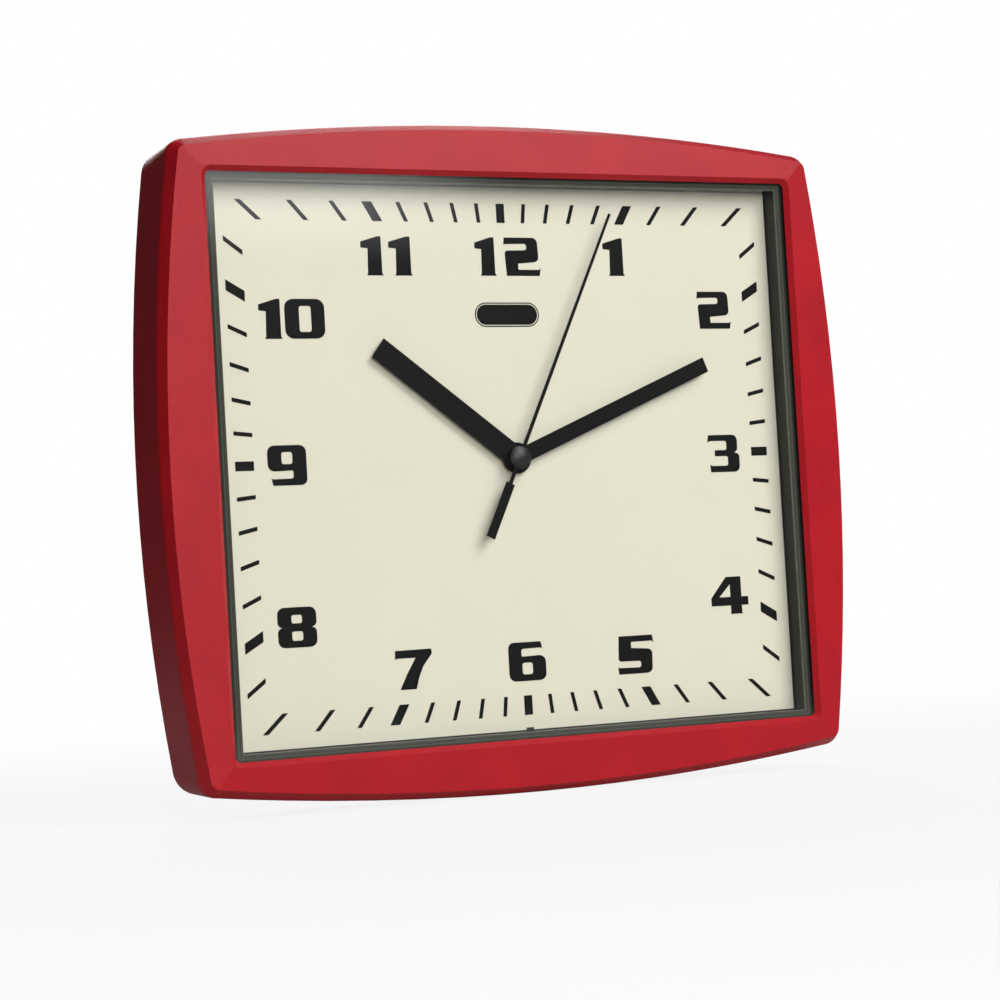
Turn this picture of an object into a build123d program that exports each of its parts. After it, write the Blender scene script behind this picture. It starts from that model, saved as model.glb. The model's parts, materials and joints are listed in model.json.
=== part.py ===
from build123d import *
import math
import os

# A square-dialled quartz wall clock, in millimetres. X is to the right, Y into the wall, Z up.
# Heights are measured from the rear face of the back cover towards the viewer, against Y.
# The origin is the centre of the hanging hole on that rear face.

# Front case
CASE_WIDTH = 308.4
CASE_HEIGHT = 268.0
CASE_DEPTH = 33.0
SIDE_BOW = 9.8
TOP_BOW = 9.4
REAR_CORNER = 11.0
FRONT_CORNER = 7.0
BELT_SETBACK = 6.0
BELT_ROUND = 4.0
SHOULDER_ANGLE = 31.0
BEVEL_ANGLE = 4.8
SKIRT_DRAFT = 0.7
CASE_WALL = 2.6
SHOULDER_WALL = 2.0
RIM_DEPTH = 2.6
BEZEL_SIDE = 20.9
BEZEL_TOP = 19.5
OPENING_RADIUS = 2.2
LIP_ROLL = 2.0
FRAME_RIB = 1.8

# Lens, dial ring and dial
LENS_THICKNESS = 2.0
LENS_OVERLAP = 2.7
LENS_GAP = 0.3
DIAL_DEPTH = 12.0
DIAL_THICKNESS = 2.0
DIAL_GAP = 0.4
SIGHT_SIDE = 5.8
SIGHT_TOP = 4.8
RING_WALL = 1.6
RING_FLANGE = 1.2
DIAL_TAB_WIDTH = 3.0
DIAL_TAB_HEIGHT = 1.2
DIAL_TAB_RISE = 0.8

# Back cover and its screws
COVER_THICKNESS = 2.2
COVER_GAP = 0.3
COVER_RIB = 1.6
COVER_FRAME_SIDE = 5.3
COVER_FRAME_TOP = 5.5
COVER_RIB_HEIGHT = 5.0
RIB_SPACING = 36.0
WINDOW_GAP = 2.0
COLLAR_HEIGHT = 6.8
HANG_HEIGHT = 84.0
HANG_RADIUS = 5.5
HANG_SLOT_WIDTH = 5.4
HANG_SLOT_RISE = 9.0
HANG_BOSS_RADIUS = 10.0
HANG_BOSS_HEIGHT = 1.8
BOSS_SIDE = 6.4
BOSS_LEVEL = 60.0
BOSS_EDGE_GAP = 3.2
PILOT_DEPTH = 12.0
SCREW_SHANK = 1.2
SCREW_LENGTH = 10.0
SCREW_HEAD = 2.8
SCREW_HEAD_HEIGHT = 1.6
SCREW_GAP = 0.05

# Movement housing
MOVEMENT_SIZE = 56.0
MOVEMENT_DEPTH = 15.3
MOVEMENT_TOP = 21.0
MOVEMENT_RADIUS = 3.0
MOVEMENT_WALL = 1.4
MOVEMENT_REAR = 1.2
BASE_THICKNESS = 1.6
BASE_RIM = 1.2
BASE_RIM_HEIGHT = 1.5
SEAT_GAP = 0.1
GASKET_THICKNESS = 0.8
GASKET_RADIUS = 9.0
STEM_RADIUS = 4.0
STEM_RISE = 1.8
STEM_GAP = 0.2
WASHER_THICKNESS = 0.4
WASHER_RADIUS = 5.5
NUT_FLATS = 10.0

# Battery and contacts
CELL_RADIUS = 7.25
CELL_LENGTH = 50.5
NUB_RADIUS = 2.75
NUB_LENGTH = 1.0
CELL_GAP = 0.35
CELL_SEAT_GAP = 0.2
STRIP_THICKNESS = 0.4
STRIP_WIDTH = 6.0
STRIP_GAP = 0.1
STRIP_SEAT = 0.05
TAIL_WIDTH = 1.6

# Hands, angles clockwise from twelve
HOUR_ANGLE = 307.3
HOUR_LENGTH = 74.4
HOUR_WIDTH = 9.1
HOUR_BOSS = 6.3
MINUTE_ANGLE = 68.0
MINUTE_LENGTH = 98.0
MINUTE_WIDTH = 6.4
MINUTE_BOSS = 4.75
SECOND_ANGLE = 25.9
SECOND_LENGTH = 110.2
SECOND_ROOT_WIDTH = 1.6
SECOND_TIP_WIDTH = 1.1
SECOND_TAIL = 35.2
SECOND_TAIL_START = 11.4
SECOND_TAIL_WIDTH = 3.9
SECOND_BOSS = 3.5
CAP_RADIUS = 4.65
CAP_HEIGHT = 1.5
HAND_THICKNESS = 0.6
SECOND_THICKNESS = 0.4
BOSS_THICKNESS = 0.8
HAND_CLEARANCE = 0.6
HOUR_CLEARANCE = 0.3

# Arbors and pipes
SECOND_ARBOR = 0.75
MINUTE_PIPE = 1.7
HOUR_PIPE = 2.4
ARBOR = 0.45
RUNNING_GAP = 0.05
END_SHAKE = 0.1
PIVOT_DEPTH = 0.8

# Going train
THIRD_DISTANCE = 10.2
FIFTH_DISTANCE = 10.8
ROTOR_DISTANCE = 10.5
MOTION_DISTANCE = 10.08
THIRD_DIRECTION = 30.0
FIFTH_DIRECTION = 200.0
ROTOR_DIRECTION = 115.0
MOTION_DIRECTION = -55.0
KNOB_DIRECTION = -15.0
ROTOR_TEETH = 8
FIFTH_TEETH = 48
FIFTH_PINION_TEETH = 8
SECONDS_TEETH = 40
SECONDS_PINION_TEETH = 6
THIRD_TEETH = 45
THIRD_PINION_TEETH = 6
CENTRE_TEETH = 48
CANNON_TEETH = 10
MOTION_TEETH = 30
MOTION_PINION_TEETH = 8
HOUR_TEETH = 32
ADDENDUM = 0.75
DEDENDUM = 1.8
TOOTH_TIP_SHARE = 0.2
WHEEL_THICKNESS = 0.6
PINION_OVERHANG = 0.2
LAYER_GAP = 1.0
REAR_CLEARANCE = 1.6

# Bridge, motor and circuit
BRIDGE_THICKNESS = 1.0
BRIDGE_MARGIN = 3.2
BRIDGE_POST = 2.0
POST_INSET = 2.1
POST_SIDE_INSET = 2.8
MAGNET_RADIUS = 3.0
MAGNET_LENGTH = 2.6
STATOR_THICKNESS = 0.8
STATOR_GAP = 0.4
STATOR_WIDTH = 4.0
POLE_WALL = 1.0
STATOR_POST_OFFSET = 6.0
STATOR_POST = 1.6
STATOR_DROP = 1.2
COIL_LENGTH = 17.0
COIL_RADIUS = 3.2
BOBBIN_RADIUS = 1.8
FLANGE_SIDE = 6.8
FLANGE_THICKNESS = 0.8
CORE_WIDTH = 2.4
BOARD_WIDTH = 6.2
BOARD_LENGTH = 34.0
BOARD_THICKNESS = 0.8
BOARD_POST = 1.6
CHIP_RADIUS = 2.2
CHIP_HEIGHT = 0.9
CHIP_RISE = 7.0
CRYSTAL_RADIUS = 1.0
CRYSTAL_LENGTH = 6.0
CRYSTAL_DROP = 8.5
KNOB_RADIUS = 5.5
KNOB_HEIGHT = 2.0
KNOB_SHAFT = 1.5
KNOB_GRIPS = 20

# Heights that follow from the sizes above
RIM = -RIM_DEPTH
LIP = RIM + CASE_DEPTH
BELT = LIP - BELT_SETBACK
LENS_FRONT = LIP - LIP_ROLL
LENS_REAR = LENS_FRONT - LENS_THICKNESS
DIAL_FACE = LIP - DIAL_DEPTH
DIAL_REAR = DIAL_FACE - DIAL_THICKNESS
BASE_FACE = DIAL_REAR - GASKET_THICKNESS
BASE_REAR = BASE_FACE - BASE_THICKNESS
MOVEMENT_BACK = BASE_FACE - MOVEMENT_DEPTH
CHAMBER_REAR = MOVEMENT_BACK + MOVEMENT_REAR
STEM_END = DIAL_FACE + STEM_RISE
HOUR_HAND_REAR = STEM_END + HOUR_CLEARANCE
HOUR_HAND_FRONT = HOUR_HAND_REAR + BOSS_THICKNESS
MINUTE_HAND_REAR = HOUR_HAND_FRONT + HAND_CLEARANCE
MINUTE_HAND_FRONT = MINUTE_HAND_REAR + BOSS_THICKNESS
SECOND_HAND_REAR = MINUTE_HAND_FRONT + HAND_CLEARANCE
SECOND_HAND_FRONT = SECOND_HAND_REAR + BOSS_THICKNESS

# Layers of the going train, from the rear wall to the front plate
FIFTH_LAYER = CHAMBER_REAR + REAR_CLEARANCE
SECONDS_LAYER = FIFTH_LAYER + WHEEL_THICKNESS + LAYER_GAP
THIRD_LAYER = SECONDS_LAYER + WHEEL_THICKNESS + LAYER_GAP
BRIDGE_REAR = THIRD_LAYER + WHEEL_THICKNESS + LAYER_GAP - PINION_OVERHANG
BRIDGE_FRONT = BRIDGE_REAR + BRIDGE_THICKNESS
CENTRE_LAYER = BRIDGE_FRONT + LAYER_GAP - PINION_OVERHANG
MOTION_LAYER = CENTRE_LAYER + WHEEL_THICKNESS + LAYER_GAP - PINION_OVERHANG
HOUR_LAYER = MOTION_LAYER + WHEEL_THICKNESS + LAYER_GAP - PINION_OVERHANG
STATOR_FRONT = BRIDGE_REAR - STATOR_DROP
STATOR_REAR = STATOR_FRONT - STATOR_THICKNESS
COIL_HEIGHT = STATOR_FRONT + STATOR_THICKNESS / 2
BOARD_REAR = MOTION_LAYER
BOARD_FRONT = BOARD_REAR + BOARD_THICKNESS

# Places on the face of the clock, seen from the front
MOVEMENT_MIDDLE = MOVEMENT_TOP - MOVEMENT_SIZE / 2
MOVEMENT_BOTTOM = MOVEMENT_TOP - MOVEMENT_SIZE
CELL_MIDDLE = MOVEMENT_BOTTOM + MOVEMENT_WALL + CELL_GAP + CELL_RADIUS
CELL_HEIGHT = BASE_REAR - CELL_SEAT_GAP - CELL_RADIUS
BAY_TOP = CELL_MIDDLE + CELL_RADIUS + CELL_GAP
BAY_HALF = CELL_LENGTH / 2 + STRIP_GAP + STRIP_THICKNESS + STRIP_SEAT
CHAMBER_HALF = MOVEMENT_SIZE / 2 - MOVEMENT_WALL
CHAMBER_BOTTOM = BAY_TOP + MOVEMENT_WALL
CHAMBER_TOP = MOVEMENT_TOP - MOVEMENT_WALL
OPENING_WIDTH = CASE_WIDTH - 2 * BEZEL_SIDE
OPENING_HEIGHT = CASE_HEIGHT - 2 * BEZEL_TOP
DIAL_SIGHT_WIDTH = OPENING_WIDTH - 2 * SIGHT_SIDE
DIAL_SIGHT_HEIGHT = OPENING_HEIGHT - 2 * SIGHT_TOP
COVER_FRAME_WIDTH = OPENING_WIDTH - 2 * COVER_FRAME_SIDE
COVER_FRAME_HEIGHT = OPENING_HEIGHT - 2 * COVER_FRAME_TOP
STACK_WIDTH = OPENING_WIDTH - 2 * LIP_ROLL + 2 * LENS_OVERLAP
STACK_HEIGHT = OPENING_HEIGHT - 2 * LIP_ROLL + 2 * LENS_OVERLAP
SEAT_WIDTH = STACK_WIDTH + 2 * LENS_GAP
SEAT_HEIGHT = STACK_HEIGHT + 2 * LENS_GAP
NEST_WIDTH = STACK_WIDTH + 2 * RING_FLANGE + 2 * DIAL_GAP
NEST_HEIGHT = STACK_HEIGHT + 2 * RING_FLANGE + 2 * DIAL_GAP


def at(height):
    """The plane at a height, with X to the right, Z up and its normal towards the viewer."""
    return Plane.XZ.offset(height)


def slab(sketch, low, high):
    return extrude(at(low) * sketch, high - low)


def disc(radius, low, high, spot=(0, 0)):
    return slab(Pos(*spot) * Circle(radius), low, high)


def away(spot, distance, direction):
    turn = math.radians(direction)
    return (spot[0] + distance * math.cos(turn), spot[1] + distance * math.sin(turn))


def bearing(start, end):
    return math.degrees(math.atan2(end[1] - start[1], end[0] - start[0]))


def outline(inset, corner=REAR_CORNER):
    """The bowed outline of the case, drawn in by an inset."""
    half_width = CASE_WIDTH / 2 - inset
    half_height = CASE_HEIGHT / 2 - inset
    corner_x = half_width - SIDE_BOW
    corner_z = half_height - TOP_BOW
    top = ThreePointArc((-corner_x, corner_z), (0, half_height), (corner_x, corner_z))
    right = ThreePointArc((corner_x, corner_z), (half_width, 0), (corner_x, -corner_z))
    bottom = ThreePointArc((corner_x, -corner_z), (0, -half_height), (-corner_x, -corner_z))
    left = ThreePointArc((-corner_x, -corner_z), (-half_width, 0), (-corner_x, corner_z))
    face = make_face(Curve() + [top, right, bottom, left])
    return fillet(face.vertices(), corner - inset / 2)


def panel(width, height, radius):
    return RectangleRounded(width, height, radius)


def frame(width, height, wall):
    """A rectangular ring whose inner size is given."""
    return Rectangle(width + 2 * wall, height + 2 * wall) - Rectangle(width, height)


def post(side, low, high, spot):
    return slab(Pos(*spot) * Rectangle(side, side), low, high)


def screw_spots():
    side = CASE_WIDTH / 2 - SKIRT_DRAFT - CASE_WALL - BOSS_EDGE_GAP - BOSS_SIDE / 2
    return [(sign_x * side, sign_z * BOSS_LEVEL) for sign_x in (-1, 1) for sign_z in (-1, 1)]


def front_case():
    belt = at(BELT) * outline(0, FRONT_CORNER)
    skirt = loft([at(RIM) * outline(SKIRT_DRAFT), belt], ruled=True)
    shoulder = extrude(belt, LIP - BELT, taper=SHOULDER_ANGLE)
    shell = skirt + shoulder
    belt_edges = shell.edges().filter_by_position(Axis.Y, -BELT, -BELT)
    shell = fillet(belt_edges, BELT_ROUND)
    reach = CASE_WIDTH / 2
    drop = reach * math.tan(math.radians(BEVEL_ANGLE))
    wide = OPENING_WIDTH + 2 * reach
    tall = OPENING_HEIGHT + 2 * reach
    roof = Wedge(wide, drop, tall, reach, reach, reach + OPENING_WIDTH, reach + OPENING_HEIGHT)
    roof = Pos(0, drop / 2 - LIP, 0) * Rot(180, 0, 0) * roof
    shell = shell & (roof + slab(Rectangle(wide, tall), RIM, LIP - drop))

    cavity = outline(SKIRT_DRAFT + CASE_WALL)
    crown = outline(SKIRT_DRAFT + CASE_WALL + SHOULDER_WALL)
    shell -= slab(cavity, RIM, BELT)
    shell -= slab(crown, BELT, LENS_REAR)
    sight = panel(OPENING_WIDTH - 2 * LIP_ROLL, OPENING_HEIGHT - 2 * LIP_ROLL, OPENING_RADIUS)
    mouth = panel(OPENING_WIDTH, OPENING_HEIGHT, OPENING_RADIUS + LIP_ROLL)
    shell -= slab(Rectangle(SEAT_WIDTH, SEAT_HEIGHT), LENS_REAR, LENS_FRONT)
    shell -= loft([at(LENS_FRONT) * sight, at(LIP) * mouth], ruled=True)

    shell += slab(frame(NEST_WIDTH, NEST_HEIGHT, FRAME_RIB), DIAL_REAR, LENS_REAR)
    pilot_end = COVER_THICKNESS + PILOT_DEPTH
    for spot in screw_spots():
        shell += post(BOSS_SIDE, COVER_THICKNESS, LENS_REAR, spot)
    return shell - [disc(SCREW_SHANK + SCREW_GAP, COVER_THICKNESS, pilot_end, spot) for spot in screw_spots()]


def lens():
    return slab(Rectangle(STACK_WIDTH, STACK_HEIGHT), LENS_REAR, LENS_FRONT)


def dial_ring():
    foot = Rectangle(DIAL_SIGHT_WIDTH, DIAL_SIGHT_HEIGHT)
    skin = Rectangle(DIAL_SIGHT_WIDTH + 2 * RING_WALL, DIAL_SIGHT_HEIGHT + 2 * RING_WALL)
    flange = Rectangle(STACK_WIDTH + 2 * RING_FLANGE, STACK_HEIGHT + 2 * RING_FLANGE)
    ring = slab(skin, DIAL_FACE, LENS_REAR)
    ring += slab(flange, DIAL_FACE, DIAL_FACE + RING_FLANGE)
    ring += slab(flange, LENS_REAR - RING_FLANGE, LENS_REAR)
    return ring - slab(foot, DIAL_FACE, LENS_REAR)


def dial_plate():
    flange = Rectangle(STACK_WIDTH + 2 * RING_FLANGE, STACK_HEIGHT + 2 * RING_FLANGE)
    plate = slab(flange, DIAL_REAR, DIAL_FACE)
    plate -= disc(STEM_RADIUS + STEM_GAP, DIAL_REAR, DIAL_FACE)
    tab_low = -DIAL_SIGHT_HEIGHT / 2 + DIAL_TAB_HEIGHT / 2 + STEM_GAP
    tab = Pos(0, tab_low) * Rectangle(DIAL_TAB_WIDTH, DIAL_TAB_HEIGHT)
    return plate + slab(tab, DIAL_FACE, DIAL_FACE + DIAL_TAB_RISE)


def keyhole():
    slot = Pos(0, HANG_SLOT_RISE / 2) * Rectangle(HANG_SLOT_WIDTH, HANG_SLOT_RISE)
    end = Pos(0, HANG_SLOT_RISE) * Circle(HANG_SLOT_WIDTH / 2)
    return Pos(0, HANG_HEIGHT) * (Circle(HANG_RADIUS) + slot + end)


def cover_ribs(window):
    """Stiffening ribs from the window's collar out to the frame that presses on the dial."""
    ribs = []
    half = RIB_SPACING / 2
    low = MOVEMENT_MIDDLE - window / 2
    high = MOVEMENT_MIDDLE + window / 2
    top = COVER_FRAME_HEIGHT / 2
    side = COVER_FRAME_WIDTH / 2
    for sign in (-1, 1):
        ribs.append(Pos(sign * half, (high + top) / 2) * Rectangle(COVER_RIB, top - high))
        ribs.append(Pos(sign * half, (low - top) / 2) * Rectangle(COVER_RIB, top + low))
        for level in (MOVEMENT_MIDDLE - half, MOVEMENT_MIDDLE + half):
            middle = sign * (side + window / 2) / 2
            ribs.append(Pos(middle, level) * Rectangle(side - window / 2, COVER_RIB))
    return ribs


def back_cover():
    window = MOVEMENT_SIZE + 2 * WINDOW_GAP
    high = COVER_THICKNESS + HANG_BOSS_HEIGHT
    plate = outline(SKIRT_DRAFT + CASE_WALL + COVER_GAP) - keyhole()
    plate -= Pos(0, MOVEMENT_MIDDLE) * Rectangle(window, window)
    for spot in screw_spots():
        plate -= Pos(*spot) * Circle(SCREW_SHANK + STEM_GAP)
    cover = slab(plate, 0, COVER_THICKNESS)
    for rib in cover_ribs(window):
        cover += slab(rib, COVER_THICKNESS, COVER_THICKNESS + COVER_RIB_HEIGHT)
    inner_width = COVER_FRAME_WIDTH - 2 * COVER_RIB
    inner_height = COVER_FRAME_HEIGHT - 2 * COVER_RIB
    cover += slab(frame(inner_width, inner_height, COVER_RIB), COVER_THICKNESS, DIAL_REAR)
    collar = Pos(0, MOVEMENT_MIDDLE) * frame(window, window, COVER_RIB)
    cover += slab(collar, COVER_THICKNESS, COVER_THICKNESS + COLLAR_HEIGHT)
    boss = Pos(0, HANG_HEIGHT) * Circle(HANG_BOSS_RADIUS)
    boss += Pos(0, HANG_HEIGHT + HANG_SLOT_RISE) * Circle(HANG_BOSS_RADIUS - HANG_SLOT_WIDTH / 2)
    return cover + slab(boss - keyhole(), COVER_THICKNESS, high)


def case_screw(spot):
    head = disc(SCREW_HEAD, -SCREW_HEAD_HEIGHT, -SCREW_GAP, spot)
    return head + disc(SCREW_SHANK, -SCREW_GAP, SCREW_LENGTH, spot)


def case_screws():
    return Compound(children=[case_screw(spot) for spot in screw_spots()])


def gear_sketch(teeth, module, phase):
    """A gear's outline, with flat-topped teeth that meet in a V and one tooth on the phase angle."""
    root = teeth * module / 2 - DEDENDUM * module
    tip = teeth * module / 2 + ADDENDUM * module
    half_pitch = math.pi / teeth
    points = []
    for tooth in range(teeth):
        middle = math.radians(phase) + 2 * tooth * half_pitch
        for radius, share in ((root, -1), (tip, -TOOTH_TIP_SHARE), (tip, TOOTH_TIP_SHARE)):
            angle = middle + share * half_pitch
            points.append((radius * math.cos(angle), radius * math.sin(angle)))
    return make_face(Polyline(*points, close=True))


def gear(teeth, module, low, high, spot, phase=0.0):
    return slab(Pos(*spot) * gear_sketch(teeth, module, phase), low, high)


def wheel(teeth, module, layer, spot):
    """A thin wheel with a tooth at three o'clock."""
    return gear(teeth, module, layer, layer + WHEEL_THICKNESS, spot)


def pinion(teeth, module, low, layer, spot, mate_spot, mate_teeth):
    """A pinion from a low height to just past its mate's layer, the mate's first tooth at three o'clock."""
    heading = bearing(mate_spot, spot)
    phase = heading + 180 + 180 / teeth + heading * mate_teeth / teeth
    return gear(teeth, module, low, layer + WHEEL_THICKNESS + PINION_OVERHANG, spot, phase)


AXIS = (0.0, 0.0)
THIRD_MODULE = 2 * THIRD_DISTANCE / (SECONDS_PINION_TEETH + THIRD_TEETH)
CENTRE_MODULE = 2 * THIRD_DISTANCE / (THIRD_PINION_TEETH + CENTRE_TEETH)
FIFTH_MODULE = 2 * FIFTH_DISTANCE / (SECONDS_TEETH + FIFTH_PINION_TEETH)
ROTOR_MODULE = 2 * ROTOR_DISTANCE / (FIFTH_TEETH + ROTOR_TEETH)
MOTION_MODULE = 2 * MOTION_DISTANCE / (CANNON_TEETH + MOTION_TEETH)
HOUR_MODULE = 2 * MOTION_DISTANCE / (MOTION_PINION_TEETH + HOUR_TEETH)
THIRD_SPOT = away(AXIS, THIRD_DISTANCE, THIRD_DIRECTION)
FIFTH_SPOT = away(AXIS, FIFTH_DISTANCE, FIFTH_DIRECTION)
ROTOR_SPOT = away(FIFTH_SPOT, ROTOR_DISTANCE, ROTOR_DIRECTION)
MOTION_SPOT = away(AXIS, MOTION_DISTANCE, MOTION_DIRECTION)
KNOB_SPOT = away(MOTION_SPOT, MOTION_DISTANCE, KNOB_DIRECTION)
REAR_SOCKET = CHAMBER_REAR - PIVOT_DEPTH
SOCKET_TOP = BASE_REAR + PIVOT_DEPTH
COIL_X = -CHAMBER_HALF + FLANGE_SIDE / 2 + SEAT_GAP
COIL_Z = ROTOR_SPOT[1]
BRIDGE_LEFT = ROTOR_SPOT[0] - BRIDGE_MARGIN
BRIDGE_RIGHT = THIRD_SPOT[0] + BRIDGE_MARGIN
BRIDGE_LOW = MOTION_SPOT[1] - BRIDGE_MARGIN
BRIDGE_HIGH = ROTOR_SPOT[1] + STATOR_POST_OFFSET + BRIDGE_MARGIN / 2
POST_SPOTS = (
    (BRIDGE_LEFT + POST_SIDE_INSET, BRIDGE_HIGH - POST_INSET),
    (BRIDGE_LEFT + POST_SIDE_INSET, BRIDGE_LOW + POST_INSET),
    (BRIDGE_RIGHT - POST_INSET, BRIDGE_HIGH - POST_INSET),
)
STATOR_SPOTS = (
    (ROTOR_SPOT[0], ROTOR_SPOT[1] + STATOR_POST_OFFSET),
    (ROTOR_SPOT[0], ROTOR_SPOT[1] - STATOR_POST_OFFSET),
)
BOARD_X = CHAMBER_HALF - SEAT_GAP - STRIP_THICKNESS - STRIP_SEAT - BOARD_WIDTH / 2
BOARD_Z = (CHAMBER_TOP + CHAMBER_BOTTOM) / 2
TAIL_TOP = BOARD_Z - BOARD_LENGTH / 2 + TAIL_WIDTH


def movement_base():
    middle = Pos(0, MOVEMENT_MIDDLE)
    base = slab(middle * panel(MOVEMENT_SIZE, MOVEMENT_SIZE, MOVEMENT_RADIUS), BASE_REAR, BASE_FACE)
    base += disc(STEM_RADIUS, BASE_FACE, STEM_END)
    base -= disc(HOUR_PIPE + RUNNING_GAP, BASE_REAR, STEM_END)
    rim_width = 2 * (CHAMBER_HALF - SEAT_GAP)
    rim_height = CHAMBER_TOP - CHAMBER_BOTTOM - 2 * SEAT_GAP
    rim_middle = Pos(0, (CHAMBER_TOP + CHAMBER_BOTTOM) / 2)
    rim = rim_middle * frame(rim_width - 2 * BASE_RIM, rim_height - 2 * BASE_RIM, BASE_RIM)
    base += slab(rim, BASE_REAR - BASE_RIM_HEIGHT, BASE_REAR)
    for spot in POST_SPOTS:
        base += post(BRIDGE_POST, BRIDGE_FRONT, BASE_REAR, spot)
    for sign in (-1, 1):
        spot = (BOARD_X, BOARD_Z + sign * (BOARD_LENGTH - 3 * BOARD_POST) / 2)
        base += post(BOARD_POST, BOARD_FRONT, BASE_REAR, spot)
    for spot in (THIRD_SPOT, MOTION_SPOT, KNOB_SPOT):
        base -= disc(ARBOR + RUNNING_GAP, BASE_REAR, SOCKET_TOP, spot)
    return base


def movement_cover():
    middle = Pos(0, MOVEMENT_MIDDLE)
    cover = slab(middle * panel(MOVEMENT_SIZE, MOVEMENT_SIZE, MOVEMENT_RADIUS), MOVEMENT_BACK, BASE_REAR)
    chamber_height = CHAMBER_TOP - CHAMBER_BOTTOM
    chamber = Pos(0, (CHAMBER_TOP + CHAMBER_BOTTOM) / 2) * Rectangle(2 * CHAMBER_HALF, chamber_height)
    cover -= slab(chamber, CHAMBER_REAR, BASE_REAR)
    bay_height = 2 * (CELL_RADIUS + CELL_GAP)
    cover -= slab(Pos(0, CELL_MIDDLE) * Rectangle(2 * BAY_HALF, bay_height), MOVEMENT_BACK, BASE_REAR)
    cover -= disc(SECOND_ARBOR + RUNNING_GAP, REAR_SOCKET, CHAMBER_REAR)
    for spot in (THIRD_SPOT, FIFTH_SPOT, ROTOR_SPOT):
        cover -= disc(ARBOR + RUNNING_GAP, REAR_SOCKET, CHAMBER_REAR, spot)
    cover -= disc(KNOB_SHAFT + RUNNING_GAP, MOVEMENT_BACK, CHAMBER_REAR, KNOB_SPOT)
    gate = Pos(BOARD_X, (BAY_TOP + CHAMBER_BOTTOM) / 2) * Rectangle(BOARD_WIDTH, MOVEMENT_WALL)
    return cover - slab(gate, BOARD_REAR, BASE_REAR)


def train_bridge():
    width = BRIDGE_RIGHT - BRIDGE_LEFT
    height = BRIDGE_HIGH - BRIDGE_LOW
    middle = Pos((BRIDGE_LEFT + BRIDGE_RIGHT) / 2, (BRIDGE_LOW + BRIDGE_HIGH) / 2)
    bridge = slab(middle * Rectangle(width, height), BRIDGE_REAR, BRIDGE_FRONT)
    for spot in STATOR_SPOTS:
        bridge += post(STATOR_POST, STATOR_FRONT, BRIDGE_REAR, spot)
    bridge -= disc(SECOND_ARBOR + RUNNING_GAP, BRIDGE_REAR, BRIDGE_FRONT)
    for spot in (THIRD_SPOT, FIFTH_SPOT, ROTOR_SPOT, MOTION_SPOT):
        bridge -= disc(ARBOR + RUNNING_GAP, BRIDGE_REAR, BRIDGE_FRONT, spot)
    return bridge


def rotor_pinion():
    low = FIFTH_LAYER - PINION_OVERHANG
    piece = disc(ARBOR, REAR_SOCKET + END_SHAKE, BRIDGE_FRONT, ROTOR_SPOT)
    return piece + pinion(ROTOR_TEETH, ROTOR_MODULE, low, FIFTH_LAYER, ROTOR_SPOT, FIFTH_SPOT, FIFTH_TEETH)


def rotor_magnet():
    middle = (STATOR_FRONT + STATOR_REAR) / 2
    low = middle - MAGNET_LENGTH / 2
    magnet = disc(MAGNET_RADIUS, low, low + MAGNET_LENGTH, ROTOR_SPOT)
    return magnet - disc(ARBOR, low, low + MAGNET_LENGTH, ROTOR_SPOT)


def fifth_wheel():
    low = FIFTH_LAYER + WHEEL_THICKNESS
    piece = disc(ARBOR, REAR_SOCKET + END_SHAKE, BRIDGE_FRONT, FIFTH_SPOT)
    piece += wheel(FIFTH_TEETH, ROTOR_MODULE, FIFTH_LAYER, FIFTH_SPOT)
    return piece + pinion(FIFTH_PINION_TEETH, FIFTH_MODULE, low, SECONDS_LAYER, FIFTH_SPOT, AXIS, SECONDS_TEETH)


def seconds_wheel():
    low = SECONDS_LAYER + WHEEL_THICKNESS
    piece = disc(SECOND_ARBOR, REAR_SOCKET + END_SHAKE, SECOND_HAND_FRONT)
    piece += wheel(SECONDS_TEETH, FIFTH_MODULE, SECONDS_LAYER, AXIS)
    return piece + pinion(SECONDS_PINION_TEETH, THIRD_MODULE, low, THIRD_LAYER, AXIS, THIRD_SPOT, THIRD_TEETH)


def third_wheel():
    low = CENTRE_LAYER - PINION_OVERHANG
    piece = disc(ARBOR, REAR_SOCKET + END_SHAKE, SOCKET_TOP - END_SHAKE, THIRD_SPOT)
    piece += wheel(THIRD_TEETH, THIRD_MODULE, THIRD_LAYER, THIRD_SPOT)
    return piece + pinion(THIRD_PINION_TEETH, CENTRE_MODULE, low, CENTRE_LAYER, THIRD_SPOT, AXIS, CENTRE_TEETH)


def centre_wheel():
    rear = BRIDGE_FRONT + END_SHAKE
    low = CENTRE_LAYER + WHEEL_THICKNESS
    piece = disc(MINUTE_PIPE, rear, MINUTE_HAND_FRONT)
    piece += wheel(CENTRE_TEETH, CENTRE_MODULE, CENTRE_LAYER, AXIS)
    piece += pinion(CANNON_TEETH, MOTION_MODULE, low, MOTION_LAYER, AXIS, MOTION_SPOT, MOTION_TEETH)
    return piece - disc(SECOND_ARBOR + RUNNING_GAP, rear, MINUTE_HAND_FRONT)


def motion_wheel():
    low = MOTION_LAYER + WHEEL_THICKNESS
    piece = disc(ARBOR, BRIDGE_REAR, SOCKET_TOP - END_SHAKE, MOTION_SPOT)
    piece += wheel(MOTION_TEETH, MOTION_MODULE, MOTION_LAYER, MOTION_SPOT)
    return piece + pinion(MOTION_PINION_TEETH, HOUR_MODULE, low, HOUR_LAYER, MOTION_SPOT, AXIS, HOUR_TEETH)


def hour_wheel():
    piece = disc(HOUR_PIPE, HOUR_LAYER, HOUR_HAND_FRONT)
    piece += wheel(HOUR_TEETH, HOUR_MODULE, HOUR_LAYER, AXIS)
    return piece - disc(MINUTE_PIPE + RUNNING_GAP, HOUR_LAYER, HOUR_HAND_FRONT)


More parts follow.
